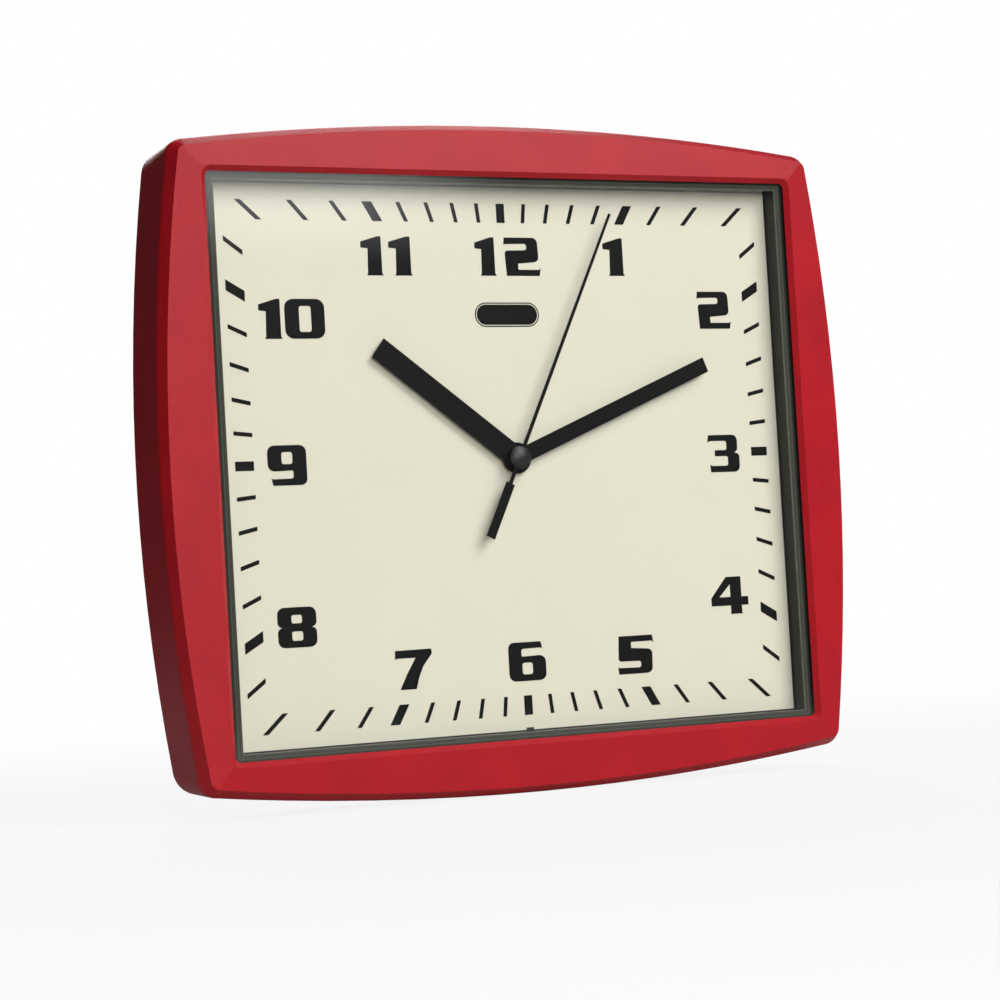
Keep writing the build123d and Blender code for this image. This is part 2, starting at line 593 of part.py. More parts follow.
def setting_knob():
    top = MOVEMENT_BACK - END_SHAKE
    grip = KNOB_RADIUS / (KNOB_GRIPS / 2 + ADDENDUM)
    knob = gear(KNOB_GRIPS, grip, top - KNOB_HEIGHT, top, KNOB_SPOT)
    low = MOTION_LAYER - PINION_OVERHANG
    knob += disc(KNOB_SHAFT, top, low, KNOB_SPOT)
    knob += disc(ARBOR, low, SOCKET_TOP - END_SHAKE, KNOB_SPOT)
    return knob + pinion(CANNON_TEETH, MOTION_MODULE, low, MOTION_LAYER, KNOB_SPOT, MOTION_SPOT, MOTION_TEETH)


def stator():
    half = COIL_LENGTH / 2 + FLANGE_THICKNESS
    pole = MAGNET_RADIUS + STATOR_GAP + POLE_WALL
    plate = Pos(*ROTOR_SPOT) * Rectangle(2 * pole, 2 * pole)
    plate += Pos(ROTOR_SPOT[0], COIL_Z) * Rectangle(STATOR_WIDTH, 2 * half + 2 * STATOR_WIDTH)
    arm = ROTOR_SPOT[0] + STATOR_WIDTH / 2 - COIL_X + CORE_WIDTH / 2
    for sign in (-1, 1):
        level = COIL_Z + sign * (half + STATOR_WIDTH / 2)
        plate += Pos(COIL_X - CORE_WIDTH / 2 + arm / 2, level) * Rectangle(arm, STATOR_WIDTH)
    plate -= Pos(*ROTOR_SPOT) * Circle(MAGNET_RADIUS + STATOR_GAP)
    return slab(plate, STATOR_REAR, STATOR_FRONT)


def coil_core():
    length = COIL_LENGTH + 2 * FLANGE_THICKNESS + 2 * STATOR_WIDTH
    bar = Pos(COIL_X, COIL_Z) * Rectangle(CORE_WIDTH, length)
    return slab(bar, STATOR_FRONT, STATOR_FRONT + STATOR_THICKNESS)


def along_coil(section, low, high):
    """A bar on the coil's upright axis, between two levels on the clock's face."""
    plane = Plane(origin=(COIL_X, -COIL_HEIGHT, COIL_Z + low), z_dir=(0, 0, 1))
    return extrude(plane * section, high - low)


def coil_bobbin():
    half = COIL_LENGTH / 2
    end = half + FLANGE_THICKNESS
    flange = Rectangle(FLANGE_SIDE, FLANGE_SIDE)
    bobbin = along_coil(Circle(BOBBIN_RADIUS), -half, half)
    bobbin += along_coil(flange, half, end)
    bobbin += along_coil(flange, -end, -half)
    return bobbin - coil_core()


def coil_winding():
    half = COIL_LENGTH / 2
    return along_coil(Circle(COIL_RADIUS) - Circle(BOBBIN_RADIUS), -half, half)


def circuit_board():
    return slab(Pos(BOARD_X, BOARD_Z) * Rectangle(BOARD_WIDTH, BOARD_LENGTH), BOARD_REAR, BOARD_FRONT)


def chip():
    return disc(CHIP_RADIUS, BOARD_REAR - CHIP_HEIGHT, BOARD_REAR, (BOARD_X, BOARD_Z + CHIP_RISE))


def crystal_can():
    low = BOARD_Z - CRYSTAL_DROP
    origin = (BOARD_X, -(BOARD_REAR - CRYSTAL_RADIUS), low)
    return extrude(Plane(origin=origin, z_dir=(0, 0, 1)) * Circle(CRYSTAL_RADIUS), CRYSTAL_LENGTH)


def contact(sign):
    """A flat strip standing against one end of the battery bay."""
    face = sign * (CELL_LENGTH / 2 + STRIP_GAP + STRIP_THICKNESS / 2)
    strip = Pos(face, CELL_MIDDLE) * Rectangle(STRIP_THICKNESS, STRIP_WIDTH)
    return slab(strip, CELL_HEIGHT - STRIP_WIDTH / 2, BASE_REAR)


def tail(left, right, low, high, rear, front):
    """A narrow run of a contact strip, between two sides, two levels and two heights."""
    run = Pos((left + right) / 2, (low + high) / 2) * Rectangle(right - left, high - low)
    return slab(run, rear, front)


def positive_contact():
    inner = CELL_LENGTH / 2 + STRIP_GAP
    front = BOARD_FRONT + STRIP_THICKNESS
    return contact(1) + tail(inner, inner + STRIP_THICKNESS, CELL_MIDDLE, TAIL_TOP, BOARD_FRONT, front)


def negative_contact():
    """Its tail crosses the bay's front corner beside the cell and climbs on to the board."""
    inner = -CELL_LENGTH / 2 - STRIP_GAP
    outer = inner - STRIP_THICKNESS
    top = BAY_TOP - STRIP_SEAT
    low = top - STRIP_THICKNESS
    turn = BOARD_X - BOARD_WIDTH / 2 + TAIL_WIDTH
    strip = contact(-1) + tail(outer, inner, CELL_MIDDLE, top, BOARD_FRONT, BASE_REAR - STRIP_SEAT)
    strip += tail(outer, turn, low, top, BOARD_FRONT, BOARD_FRONT + TAIL_WIDTH)
    return strip + tail(turn - TAIL_WIDTH + STRIP_SEAT, turn, low, TAIL_TOP, BOARD_FRONT, BOARD_FRONT + STRIP_THICKNESS)


def battery():
    """An AA cell lying along X, with its nub to the right."""
    start = -CELL_LENGTH / 2
    plane = Plane(origin=(start, -CELL_HEIGHT, CELL_MIDDLE), x_dir=(0, 1, 0), z_dir=(1, 0, 0))
    can = extrude(plane * Circle(CELL_RADIUS), CELL_LENGTH - NUB_LENGTH)
    shoulder = plane.offset(CELL_LENGTH - NUB_LENGTH)
    return can + extrude(shoulder * Circle(NUB_RADIUS), NUB_LENGTH)


def gasket():
    ring = Circle(GASKET_RADIUS) - Circle(STEM_RADIUS + STEM_GAP)
    return slab(ring, BASE_FACE, DIAL_REAR)


def washer():
    ring = Circle(WASHER_RADIUS) - Circle(STEM_RADIUS + STEM_GAP)
    return slab(ring, DIAL_FACE, DIAL_FACE + WASHER_THICKNESS)


def hex_nut():
    nut = RegularPolygon(NUT_FLATS / 2, 6, major_radius=False) - Circle(STEM_RADIUS + SCREW_GAP)
    return slab(nut, DIAL_FACE + WASHER_THICKNESS, STEM_END)


def hand(blade, boss, bore, rear, thickness, angle):
    """A flat hand with a round boss, turned clockwise from twelve."""
    shape = slab(blade, rear, rear + thickness) + disc(boss, rear, rear + BOSS_THICKNESS)
    shape -= disc(bore, rear, rear + BOSS_THICKNESS)
    return Rot(0, angle, 0) * shape


def baton(width, length):
    return Pos(0, length / 2) * Rectangle(width, length)


def hour_hand():
    blade = baton(HOUR_WIDTH, HOUR_LENGTH)
    return hand(blade, HOUR_BOSS, HOUR_PIPE, HOUR_HAND_REAR, HAND_THICKNESS, HOUR_ANGLE)


def minute_hand():
    blade = baton(MINUTE_WIDTH, MINUTE_LENGTH)
    return hand(blade, MINUTE_BOSS, MINUTE_PIPE, MINUTE_HAND_REAR, HAND_THICKNESS, MINUTE_ANGLE)


def second_hand():
    root = SECOND_ROOT_WIDTH / 2
    tip = SECOND_TIP_WIDTH / 2
    points = ((-root, -SECOND_TAIL_START), (root, -SECOND_TAIL_START), (tip, SECOND_LENGTH), (-tip, SECOND_LENGTH))
    blade = make_face(Polyline(*points, close=True))
    tail = SECOND_TAIL - SECOND_TAIL_START
    blade += Pos(0, -SECOND_TAIL_START - tail / 2) * Rectangle(SECOND_TAIL_WIDTH, tail)
    return hand(blade, SECOND_BOSS, SECOND_ARBOR, SECOND_HAND_REAR, SECOND_THICKNESS, SECOND_ANGLE)


def hand_cap():
    """The dome over the hand stack, a slice of a ball."""
    ball = (CAP_RADIUS ** 2 + CAP_HEIGHT ** 2) / (2 * CAP_HEIGHT)
    middle = Pos(0, -(SECOND_HAND_FRONT + CAP_HEIGHT - ball), 0)
    return (middle * Sphere(ball)) & disc(CAP_RADIUS, SECOND_HAND_FRONT, SECOND_HAND_FRONT + CAP_HEIGHT)


PIECES = (
    front_case, lens, dial_ring, dial_plate, back_cover, case_screws, movement_base, movement_cover,
    train_bridge, rotor_pinion, rotor_magnet, fifth_wheel, seconds_wheel, third_wheel, centre_wheel,
    motion_wheel, hour_wheel, setting_knob, stator, coil_core, coil_bobbin, coil_winding, circuit_board,
    chip, crystal_can, positive_contact, negative_contact, battery, gasket, washer, hex_nut,
    hour_hand, minute_hand, second_hand, hand_cap,
)

os.makedirs("parts", exist_ok=True)
for make in PIECES:
    piece = Pos(0, 0, -HANG_HEIGHT) * make()
    export_step(piece, f"parts/{make.__name__}.step")
    print(make.__name__, len(piece.solids()), round(piece.volume, 1))
print("hand axis", (0, -DIAL_FACE, -HANG_HEIGHT))
for name, spot in (("third", THIRD_SPOT), ("fifth", FIFTH_SPOT), ("rotor", ROTOR_SPOT),
                   ("motion", MOTION_SPOT), ("knob", KNOB_SPOT)):
    print(name, round(spot[0], 6), round(spot[1] - HANG_HEIGHT, 6))
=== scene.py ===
# %% [markdown]
# # A red wall clock with a square dial
# This lesson dresses the clock's solid model. The solids bring their sizes and places, in metres:
# X to the right, Y into the wall, Z up, with the origin in the hanging hole. The script keeps the box
# of the solids from the start.

# %% The solid model
import json
import math
import bmesh
import bpy
from mathutils import Matrix, Vector


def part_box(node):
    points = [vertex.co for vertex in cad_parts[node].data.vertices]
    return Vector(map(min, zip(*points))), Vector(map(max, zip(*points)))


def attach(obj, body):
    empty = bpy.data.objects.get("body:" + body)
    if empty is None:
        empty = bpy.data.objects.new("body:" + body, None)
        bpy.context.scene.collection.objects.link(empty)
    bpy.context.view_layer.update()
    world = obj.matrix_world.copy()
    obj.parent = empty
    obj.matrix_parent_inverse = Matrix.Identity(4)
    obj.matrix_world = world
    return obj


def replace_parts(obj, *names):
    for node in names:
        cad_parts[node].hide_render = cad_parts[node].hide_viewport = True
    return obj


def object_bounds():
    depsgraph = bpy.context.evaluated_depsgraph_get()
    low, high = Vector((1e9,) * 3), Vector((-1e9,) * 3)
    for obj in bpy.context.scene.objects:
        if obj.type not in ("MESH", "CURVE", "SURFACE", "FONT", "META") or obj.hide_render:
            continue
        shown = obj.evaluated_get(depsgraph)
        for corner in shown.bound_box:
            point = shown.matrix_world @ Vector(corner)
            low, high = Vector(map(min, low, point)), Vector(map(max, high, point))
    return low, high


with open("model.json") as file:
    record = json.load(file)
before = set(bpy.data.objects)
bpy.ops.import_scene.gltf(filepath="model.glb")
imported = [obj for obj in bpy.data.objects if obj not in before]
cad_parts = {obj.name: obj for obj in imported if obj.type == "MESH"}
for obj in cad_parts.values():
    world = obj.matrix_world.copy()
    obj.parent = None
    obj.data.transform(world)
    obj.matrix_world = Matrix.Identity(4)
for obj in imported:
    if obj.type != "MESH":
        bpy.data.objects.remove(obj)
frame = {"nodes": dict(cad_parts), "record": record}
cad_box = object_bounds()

MM = 0.001
record = frame["record"]
joints = {joint["name"]: joint for joint in record["behaviour"]["joints"]}
hub = Vector(joints["minute_turn"]["pos_m"])
print("solids:", len(frame["nodes"]), "hub in mm:", [round(value / MM, 2) for value in hub])

# %% [markdown]
# ## Colours and nodes
# A colour is easiest to pick as a hex value, as painting programs show it. Shaders count in linear light,
# so one function turns the hex value over. Another adds a node, sets it and links it, a third starts a finish
# with an empty tree, and a fourth turns a real size into the scale of a texture.

# %% Helpers for finishes
def linear(code):
    """Turn a hex colour such as B01F2B into linear red, green, blue and an alpha of 1."""
    shares = [int(code[place:place + 2], 16) / 255 for place in (0, 2, 4)]
    bent = [share / 12.92 if share <= 0.04045 else ((share + 0.055) / 1.055) ** 2.4 for share in shares]
    return (*bent, 1.0)


def add(tree, kind, inputs=None, **settings):
    """Add a node. Its inputs take plain values or other nodes' outputs."""
    made = tree.nodes.new(kind)
    for name, value in settings.items():
        setattr(made, name, value)
    for socket, value in (inputs or {}).items():
        if isinstance(value, bpy.types.NodeSocket):
            tree.links.new(value, made.inputs[socket])
        else:
            made.inputs[socket].default_value = value
    return made


def start(name):
    """Give a new finish with nothing in its tree."""
    finish = bpy.data.materials.new(name)
    finish.use_nodes = True
    finish.node_tree.nodes.clear()
    return finish, finish.node_tree


def per_mm(size):
    """The texture scale at which one feature is this many millimetres across."""
    return 1 / (size * MM)


print("helpers ready")

# %% [markdown]
# ## Moulded plastics and plain metals
# Injection-moulded ABS shows two things close up: the fine eroded texture of its mould, which breaks the
# gloss into a satin sheen, and very slight cloudiness in the colour. Two noises do that: a coarse one and a
# fine one tint the colour together, and the fine one is the bump. The grain is drawn a little coarser than on
# the real mould, so that it shows. Metal parts get the same treatment with a metallic shader.

# %% Moulded and metal finishes
CLOUD = 26.0
CLOUD_LOW, CLOUD_HIGH = 0.7, 1.3
GLOSS_SPREAD = 0.05
GRAIN_DEPTH = 0.1 * MM


def surface(name, light, dark, rough, grain, relief, metal=0.0, shine=0.5):
    """A surface with clouded colour, uneven gloss and a fine grain, in millimetres."""
    finish, tree = start(name)
    place = add(tree, "ShaderNodeTexCoord").outputs["Object"]
    cloud = add(tree, "ShaderNodeTexNoise", {"Vector": place, "Scale": per_mm(CLOUD), "Detail": 3.0})
    fine = add(tree, "ShaderNodeTexNoise", {"Vector": place, "Scale": per_mm(grain), "Detail": 2.0})
    both = add(tree, "ShaderNodeMath", {0: cloud.outputs["Fac"], 1: fine.outputs["Fac"]}, operation="ADD")
    tone = add(tree, "ShaderNodeMapRange", {"Value": both.outputs[0], "From Min": CLOUD_LOW,
                                            "From Max": CLOUD_HIGH})
    blend = add(tree, "ShaderNodeMixRGB", {"Fac": tone.outputs["Result"], "Color1": linear(dark),
                                           "Color2": linear(light)})
    gloss = add(tree, "ShaderNodeMapRange", {"Value": fine.outputs["Fac"], "To Min": rough - GLOSS_SPREAD,
                                             "To Max": rough + GLOSS_SPREAD})
    bump = add(tree, "ShaderNodeBump", {"Height": fine.outputs["Fac"], "Strength": relief,
                                        "Distance": GRAIN_DEPTH})
    shader = add(tree, "ShaderNodeBsdfPrincipled",
                 {"Base Color": blend.outputs["Color"], "Roughness": gloss.outputs["Result"],
                  "Normal": bump.outputs["Normal"], "Metallic": metal, "Specular IOR Level": shine})
    add(tree, "ShaderNodeOutputMaterial", {"Surface": shader.outputs[0]})
    return finish


finishes = {
    # a satin sheen that pales where a face leans to the light
    "red_abs": surface("red moulded ABS", "B0141F", "A00E1C", 0.42, 0.8, 0.5, shine=0.27),
    # dull grey-black, speckled by its deep mould texture
    "black_abs": surface("black textured ABS", "303032", "1E1E20", 0.55, 1.0, 1.0),
    # deep black with a soft streak of light, from a smoother mould
    "movement_black": surface("black satin ABS", "1C1C1E", "171719", 0.35, 0.5, 0.3),
    # white and a little waxy, without any pigment
    "gear_acetal": surface("white acetal", "EEEDE4", "E4E3DA", 0.38, 0.5, 0.1),
    # the same resin in ivory, warm against the black cover
    "knob_plastic": surface("ivory acetal", "E6E4DC", "DAD8D0", 0.4, 0.5, 0.1),
    # black and wet-looking, as a drop that has set
    "chip_resin": surface("black potting resin", "141414", "0E0E0E", 0.25, 1.0, 0.2),
    # deep green under a thin gloss of lacquer
    "board_green": surface("green lacquered board", "1F6B36", "195A2D", 0.35, 0.6, 0.2),
    # black and dry, with no highlight
    "black_rubber": surface("black rubber", "1A1A1A", "151515", 0.7, 0.6, 0.4),
    # an even black that hardly mirrors, for print and painted hands
    "black_paint": surface("black satin paint", "131513", "101110", 0.5, 0.4, 0.12, shine=0.08),
    # black with one small soft highlight on the dome
    "black_gloss": surface("black gloss plastic", "1A1B1A", "161716", 0.42, 1.5, 0.05),
    # cool and bright, slightly frosted by the plating
    "zinc_steel": surface("zinc-plated steel", "C4C4C8", "B4B4BA", 0.3, 0.5, 0.15, metal=1.0),
    # greyer and duller than plating, as pressed bare iron is
    "core_steel": surface("pressed soft iron", "B4B4B4", "A2A2A4", 0.38, 0.4, 0.2, metal=1.0),
    # a warm white metal, brighter than the iron
    "contact_steel": surface("nickel-plated strip", "CFCCC4", "C0BDB6", 0.28, 0.5, 0.15, metal=1.0),
    # yellow, with the fine grain of the turning tool
    "brass_plain": surface("turned brass", "D2A95A", "C39A4C", 0.28, 0.4, 0.15, metal=1.0),
    # copper red, ridged by its strands, which are drawn coarser here so that they show
    "copper_wire": surface("enamelled copper wire", "C4683A", "A8502A", 0.3, 0.2, 0.6, metal=1.0),
    # dark grey and dry, as pressed powder
    "ferrite": surface("sintered ferrite", "3C3C40", "303034", 0.55, 0.6, 0.4),
    # dark blue-grey foil with an even sheen
    "cell_sleeve": surface("dark printed sleeve", "2A3442", "242D3A", 0.32, 1.0, 0.1),
}
print("plain finishes:", len(finishes))

# %% [markdown]
# ## The clear lens
# The pane is polished polystyrene: clear, hardly tinted, and glossy on both faces. A refracting pane would
# shade the dial twice, once for light on its way in and once for light on its way out. So the camera sees
# the real refraction, while shadow rays and light that leaves the dial go straight through.

# %% Lens finish
# Polystyrene bends light by 1.59. The pane mirrors less than that would, so its values are a little lower.
LENS_IOR, LENS_SHINE = 1.49, 0.2

clear, tree = start("polished clear polystyrene")
pane = add(tree, "ShaderNodeBsdfPrincipled", {"Base Color": linear("FBFCFA"), "Roughness": 0.02, "IOR": LENS_IOR,
                                              "Transmission Weight": 1.0, "Specular IOR Level": LENS_SHINE})
through = add(tree, "ShaderNodeBsdfTransparent")
path = add(tree, "ShaderNodeLightPath")
for ray in ("Is Reflection Ray", "Is Shadow Ray"):
    pane = add(tree, "ShaderNodeMixShader", {0: path.outputs[ray], 1: pane.outputs[0], 2: through.outputs[0]})
add(tree, "ShaderNodeOutputMaterial", {"Surface": pane.outputs[0]})
finishes["clear_pane"] = clear
print("lens finish made")

# %% [markdown]
# ## The smoky spacer ring
# The ring between lens and dial is smoke-grey polystyrene, polished like the lens. It looks nearly black and
# mirrors the dial's marks faintly. Fine steps from its mould run all round it as thin lines. The pale line at
# the inner edge, where the wall turns into the front rim, is a painted highlight, and the black at the foot,
# where the ring meets the dial, is painted shade. The wall is darker than the front rim. The colours follow the
# ring's section: up the wall from the dial, then out along the front rim. The height above the dial and the
# distance outside the sight edge add up to the way along that section, so one colour ramp draws every line.

# %% Ring finish
SIGHT_X, SIGHT_Z = 127.5 * MM, 109.7 * MM
SECTION = 12.0
RING_IOR, RING_SHINE = 1.59, 0.15
# millimetres along the section, and the colour there
# painted shade at 0 to 0.4 mm, where the ring meets the dial, and a painted highlight at 7.6 to 8.1 mm, along the
# inner edge where the wall turns into the front rim
MOULD_LINES_AND_PAINTED_LIGHT = ((0.4, "0B0B09"), (0.5, "1E1F1A"), (7.2, "282923"), (7.6, "6C6E65"), (8.1, "6C6E65"), (8.3, "46483F"),
         (9.6, "3E4039"), (9.8, "5C5E56"), (10.1, "373932"), (11.2, "2C2E28"), (11.5, "141512"))

smoke, tree = start("smoke-grey polystyrene")
place = add(tree, "ShaderNodeTexCoord").outputs["Object"]
moved = add(tree, "ShaderNodeVectorMath", {0: place, 1: hub}, operation="SUBTRACT").outputs["Vector"]
parts = add(tree, "ShaderNodeSeparateXYZ", {"Vector": moved})
across = add(tree, "ShaderNodeMath", {0: parts.outputs["X"]}, operation="ABSOLUTE")
up = add(tree, "ShaderNodeMath", {0: parts.outputs["Z"]}, operation="ABSOLUTE")
beside = add(tree, "ShaderNodeMath", {0: across.outputs[0], 1: SIGHT_X}, operation="SUBTRACT")
above = add(tree, "ShaderNodeMath", {0: up.outputs[0], 1: SIGHT_Z}, operation="SUBTRACT")
outside = add(tree, "ShaderNodeMath", {0: beside.outputs[0], 1: above.outputs[0]}, operation="MAXIMUM")
way = add(tree, "ShaderNodeMath", {0: outside.outputs[0], 1: parts.outputs["Y"]}, operation="SUBTRACT")
share = add(tree, "ShaderNodeMapRange", {"Value": way.outputs[0], "From Max": SECTION * MM})
steps = add(tree, "ShaderNodeValToRGB", {"Fac": share.outputs["Result"]})
ramp = steps.color_ramp
# the ramp starts black: painted shade at the foot of the ring
ramp.elements[0].color = linear("0B0B09")
ramp.elements[1].color = linear("141512")
for spot, code in MOULD_LINES_AND_PAINTED_LIGHT:
    ramp.elements.new(spot / SECTION).color = linear(code)
polish = add(tree, "ShaderNodeBsdfPrincipled", {"Base Color": steps.outputs["Color"], "Roughness": 0.12,
                                                "IOR": RING_IOR, "Specular IOR Level": RING_SHINE})
add(tree, "ShaderNodeOutputMaterial", {"Surface": polish.outputs[0]})
finishes["smoke_clear"] = smoke
print("ring finish made, lines:", len(MOULD_LINES_AND_PAINTED_LIGHT))

# %% [markdown]
# ## The cream dial
# The dial is a sheet with a matt cream print. Along the sides and the bottom of its edge, where it meets the
# ring, a black line is painted shade, for the shadow there. Along the top the line is a pale painted highlight,
# for the sheet's cut edge catching the light. The small locating tab at six o'clock is black. All of it follows
# from Object coordinates: distance from the hub gives the lines, and height above the sheet the tab.

# %% Dial finish
# width of the painted shade line along the sheet's sides and bottom, and of the painted highlight along its top
PAINTED_EDGE_LINE = 0.45 * MM
TAB_RISE = 0.2 * MM
SHEET_CLOUD = 40.0
# the sheet's own tooth is finer than this, and is drawn coarser so that it shows
TOOTH, TOOTH_DEPTH = 0.4, 0.1 * MM

cream, tree = start("matt cream print")
place = add(tree, "ShaderNodeTexCoord").outputs["Object"]
moved = add(tree, "ShaderNodeVectorMath", {0: place, 1: hub}, operation="SUBTRACT").outputs["Vector"]
parts = add(tree, "ShaderNodeSeparateXYZ", {"Vector": moved})
across = add(tree, "ShaderNodeMath", {0: parts.outputs["X"]}, operation="ABSOLUTE")
# painted shade: black along the sides and the bottom of the sheet's edge, for the shadow where it meets the ring
beside = add(tree, "ShaderNodeMath", {0: across.outputs[0], 1: SIGHT_X - PAINTED_EDGE_LINE}, operation="GREATER_THAN")
below = add(tree, "ShaderNodeMath", {0: parts.outputs["Z"], 1: PAINTED_EDGE_LINE - SIGHT_Z}, operation="LESS_THAN")
painted_gap_shade = add(tree, "ShaderNodeMath", {0: beside.outputs[0], 1: below.outputs[0]}, operation="MAXIMUM")
# painted highlight: a pale line along the top edge, where the cut edge would catch the light
top = add(tree, "ShaderNodeMath", {0: parts.outputs["Z"], 1: SIGHT_Z - PAINTED_EDGE_LINE}, operation="GREATER_THAN")
tab = add(tree, "ShaderNodeMath", {0: parts.outputs["Y"], 1: -TAB_RISE}, operation="LESS_THAN")
dark = add(tree, "ShaderNodeMath", {0: painted_gap_shade.outputs[0], 1: tab.outputs[0]}, operation="MAXIMUM")
cloud = add(tree, "ShaderNodeTexNoise", {"Vector": place, "Scale": per_mm(SHEET_CLOUD), "Detail": 3.0})
sheet = add(tree, "ShaderNodeMixRGB", {"Fac": cloud.outputs["Fac"], "Color1": linear("DFDCC8"),
                                       "Color2": linear("E4E1CE")})
sheet_with_painted_highlight = add(tree, "ShaderNodeMixRGB", {"Fac": top.outputs[0], "Color1": sheet.outputs["Color"],
                                       "Color2": linear("F6F4E8")})
# one black for the painted shade along the edge and for the real black tab
painted_shade_and_tab = add(tree, "ShaderNodeMixRGB", {"Fac": dark.outputs[0], "Color1": sheet_with_painted_highlight.outputs["Color"],
                                        "Color2": linear("0F0F0D")})
tooth = add(tree, "ShaderNodeTexNoise", {"Vector": place, "Scale": per_mm(TOOTH), "Detail": 2.0})
bump = add(tree, "ShaderNodeBump", {"Height": tooth.outputs["Fac"], "Strength": 0.12, "Distance": TOOTH_DEPTH})
printed = add(tree, "ShaderNodeBsdfPrincipled", {"Base Color": painted_shade_and_tab.outputs["Color"], "Roughness": 0.62,
                                                 "Normal": bump.outputs["Normal"]})
add(tree, "ShaderNodeOutputMaterial", {"Surface": printed.outputs[0]})
finishes["cream_dial"] = cream
print("dial finish made, edge line in mm:", round(PAINTED_EDGE_LINE / MM, 2))

# %% [markdown]
# ## Dressing the solids
# A solid's node keeps its mesh, and only takes its finish. All nodes get theirs from the record's slots.

# %% Finishes on the nodes
slots = {row["node"]: row["material_slot"] for row in record["subparts"]}
for name, thing in frame["nodes"].items():
    thing.data.materials.clear()
    thing.data.materials.append(finishes[slots[name]])
print("nodes dressed:", len(slots))

# %% [markdown]
# ## Smooth copies
# The nodes are loose flat triangles. Where light slides over a bowed or rounded face, a copy is merged, its
# flat regions are joined up again, and its sharp edges get a narrow bevel that catches the light, as on any
# moulded or punched part. Weighted normals then keep the large faces flat and let the small ones turn.

# %% Helpers for pieces
# how close counts as the same level, and as the same point
NEAR, JOIN = 0.01 * MM, 0.001 * MM
# bends in degrees: still flat, sharp enough to round off, and kept as a crease
FLAT_BEND, SHARP, CREASE = 0.3, 25.0, 40.0


def object_of(name, bm, finish):
    """Make an object of a bmesh, at the origin, with one finish."""
    mesh = bpy.data.meshes.new(name)
    bm.to_mesh(mesh)
    bm.free()
    mesh.materials.append(finish)
    thing = bpy.data.objects.new(name, mesh)
    bpy.context.scene.collection.objects.link(thing)
    return thing


def finish_piece(name, bm, body, slot):
    """Make a piece of a bmesh, smooth where it bends by less than a crease, riding on a body."""
    for face in bm.faces:
        face.smooth = True
    for line in bm.edges:
        line.smooth = line.is_manifold and line.calc_face_angle(math.pi) < math.radians(CREASE)
    thing = object_of(name, bm, finishes[slot])
    thing.modifiers.new("flat faces stay flat", "WEIGHTED_NORMAL").keep_sharp = True
    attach(thing, body)
    print(name, "faces:", len(thing.data.polygons))
    return thing


def merged(node):
    """A bmesh of a node, with its doubles merged and its flat regions joined up."""
    bm = bmesh.new()
    bm.from_mesh(frame["nodes"][node].data)
    bmesh.ops.remove_doubles(bm, verts=bm.verts, dist=JOIN)
    bmesh.ops.dissolve_limit(bm, angle_limit=math.radians(FLAT_BEND), verts=bm.verts, edges=bm.edges)
    return bm


def round_off(bm, lines, width, segments=2):
    """Round edges by a width in millimetres."""
    bmesh.ops.bevel(bm, geom=lines, offset=width * MM, offset_type="OFFSET", affect="EDGES", segments=segments,
                    profile=0.5, material=-1, clamp_overlap=True)


def dress(node, body, width):
    """Stand in for a node with a copy whose sharp edges are rounded off."""
    bm = merged(node)
    round_off(bm, [line for line in bm.edges if line.calc_face_angle(0.0) > math.radians(SHARP)], width)
    made = finish_piece(node + "_dressed", bm, body, slots[node])
    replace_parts(made, node)


print("helpers for pieces ready")

# %% [markdown]
# ## The case
# The front is one red moulding. Four shallow bevels slope back from the opening and meet in mitres, a
# shoulder falls away round them, and a soft belt leads to the sides. Each of those edges is rounded a little
# on the real one, most of all the lip round the lens, which shows as a thin line of light. A face's normal
# tells which edges these are: its Y is -1 where the face looks straight to the front, and 0 where it looks
# to a side.

# %% Case
EDGE_ROUND, EDGE_STEPS = 0.9, 4
SIDE_ON, FRONT_ON, BEVEL_ON = 0.2, -0.6, -0.98
# bends in degrees
RIM_BEND, MITRE_BEND = 60.0, 3.0


def on_front(line):
    """Whether an edge lies on the visible front or the rear rim and bends enough to be rounded."""
    normals = [face.normal for face in line.link_faces]
    bend = math.degrees(line.calc_face_angle(0.0))
    facing = all(normal.y < SIDE_ON for normal in normals) and any(normal.y < FRONT_ON for normal in normals)
    rim = bend > RIM_BEND and all(abs(vert.co.y - cad_box[1][1]) < NEAR for vert in line.verts)
    mitre = bend > MITRE_BEND and all(normal.y < BEVEL_ON for normal in normals)
    return rim or facing and (bend > SHARP or mitre)


bm = merged("front_case")
lines = [line for line in bm.edges if on_front(line)]
round_off(bm, lines, EDGE_ROUND, EDGE_STEPS)
case = finish_piece("front_case_dressed", bm, "case", "red_abs")
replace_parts(case, "front_case")
print("front edges rounded:", len(lines))

# %% [markdown]
# ## The back
# The rear is plain: a textured cover with a keyhole and a window for the movement. Moulded covers have
# slightly rounded edges where they end, so the edges of the rear faces are rounded off, and no others: what
# lies inside stays as the solids have it. The setting knob is small enough to be rounded all over.

# %% Covers and knob
COVER_ROUND, KNOB_ROUND = 0.35, 0.12
REAR_ON = 0.98


def behind(line, level):
    """Whether an edge borders a rear face at this depth and bends sharply."""
    rear = [face for face in line.link_faces if face.normal.y > REAR_ON]
    flush = all(abs(vert.co.y - level) < NEAR for vert in line.verts)
    return flush and len(rear) == 1 and line.calc_face_angle(0.0) > math.radians(SHARP)


for node in ("back_cover", "movement_cover"):
    bm = merged(node)
    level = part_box(node)[1][1]
    lines = [line for line in bm.edges if behind(line, level)]
    round_off(bm, lines, COVER_ROUND)
    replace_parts(finish_piece(node + "_dressed", bm, "case", slots[node]), node)
    print(node, "edges rounded:", len(lines))
dress("setting_knob", "knob", KNOB_ROUND)

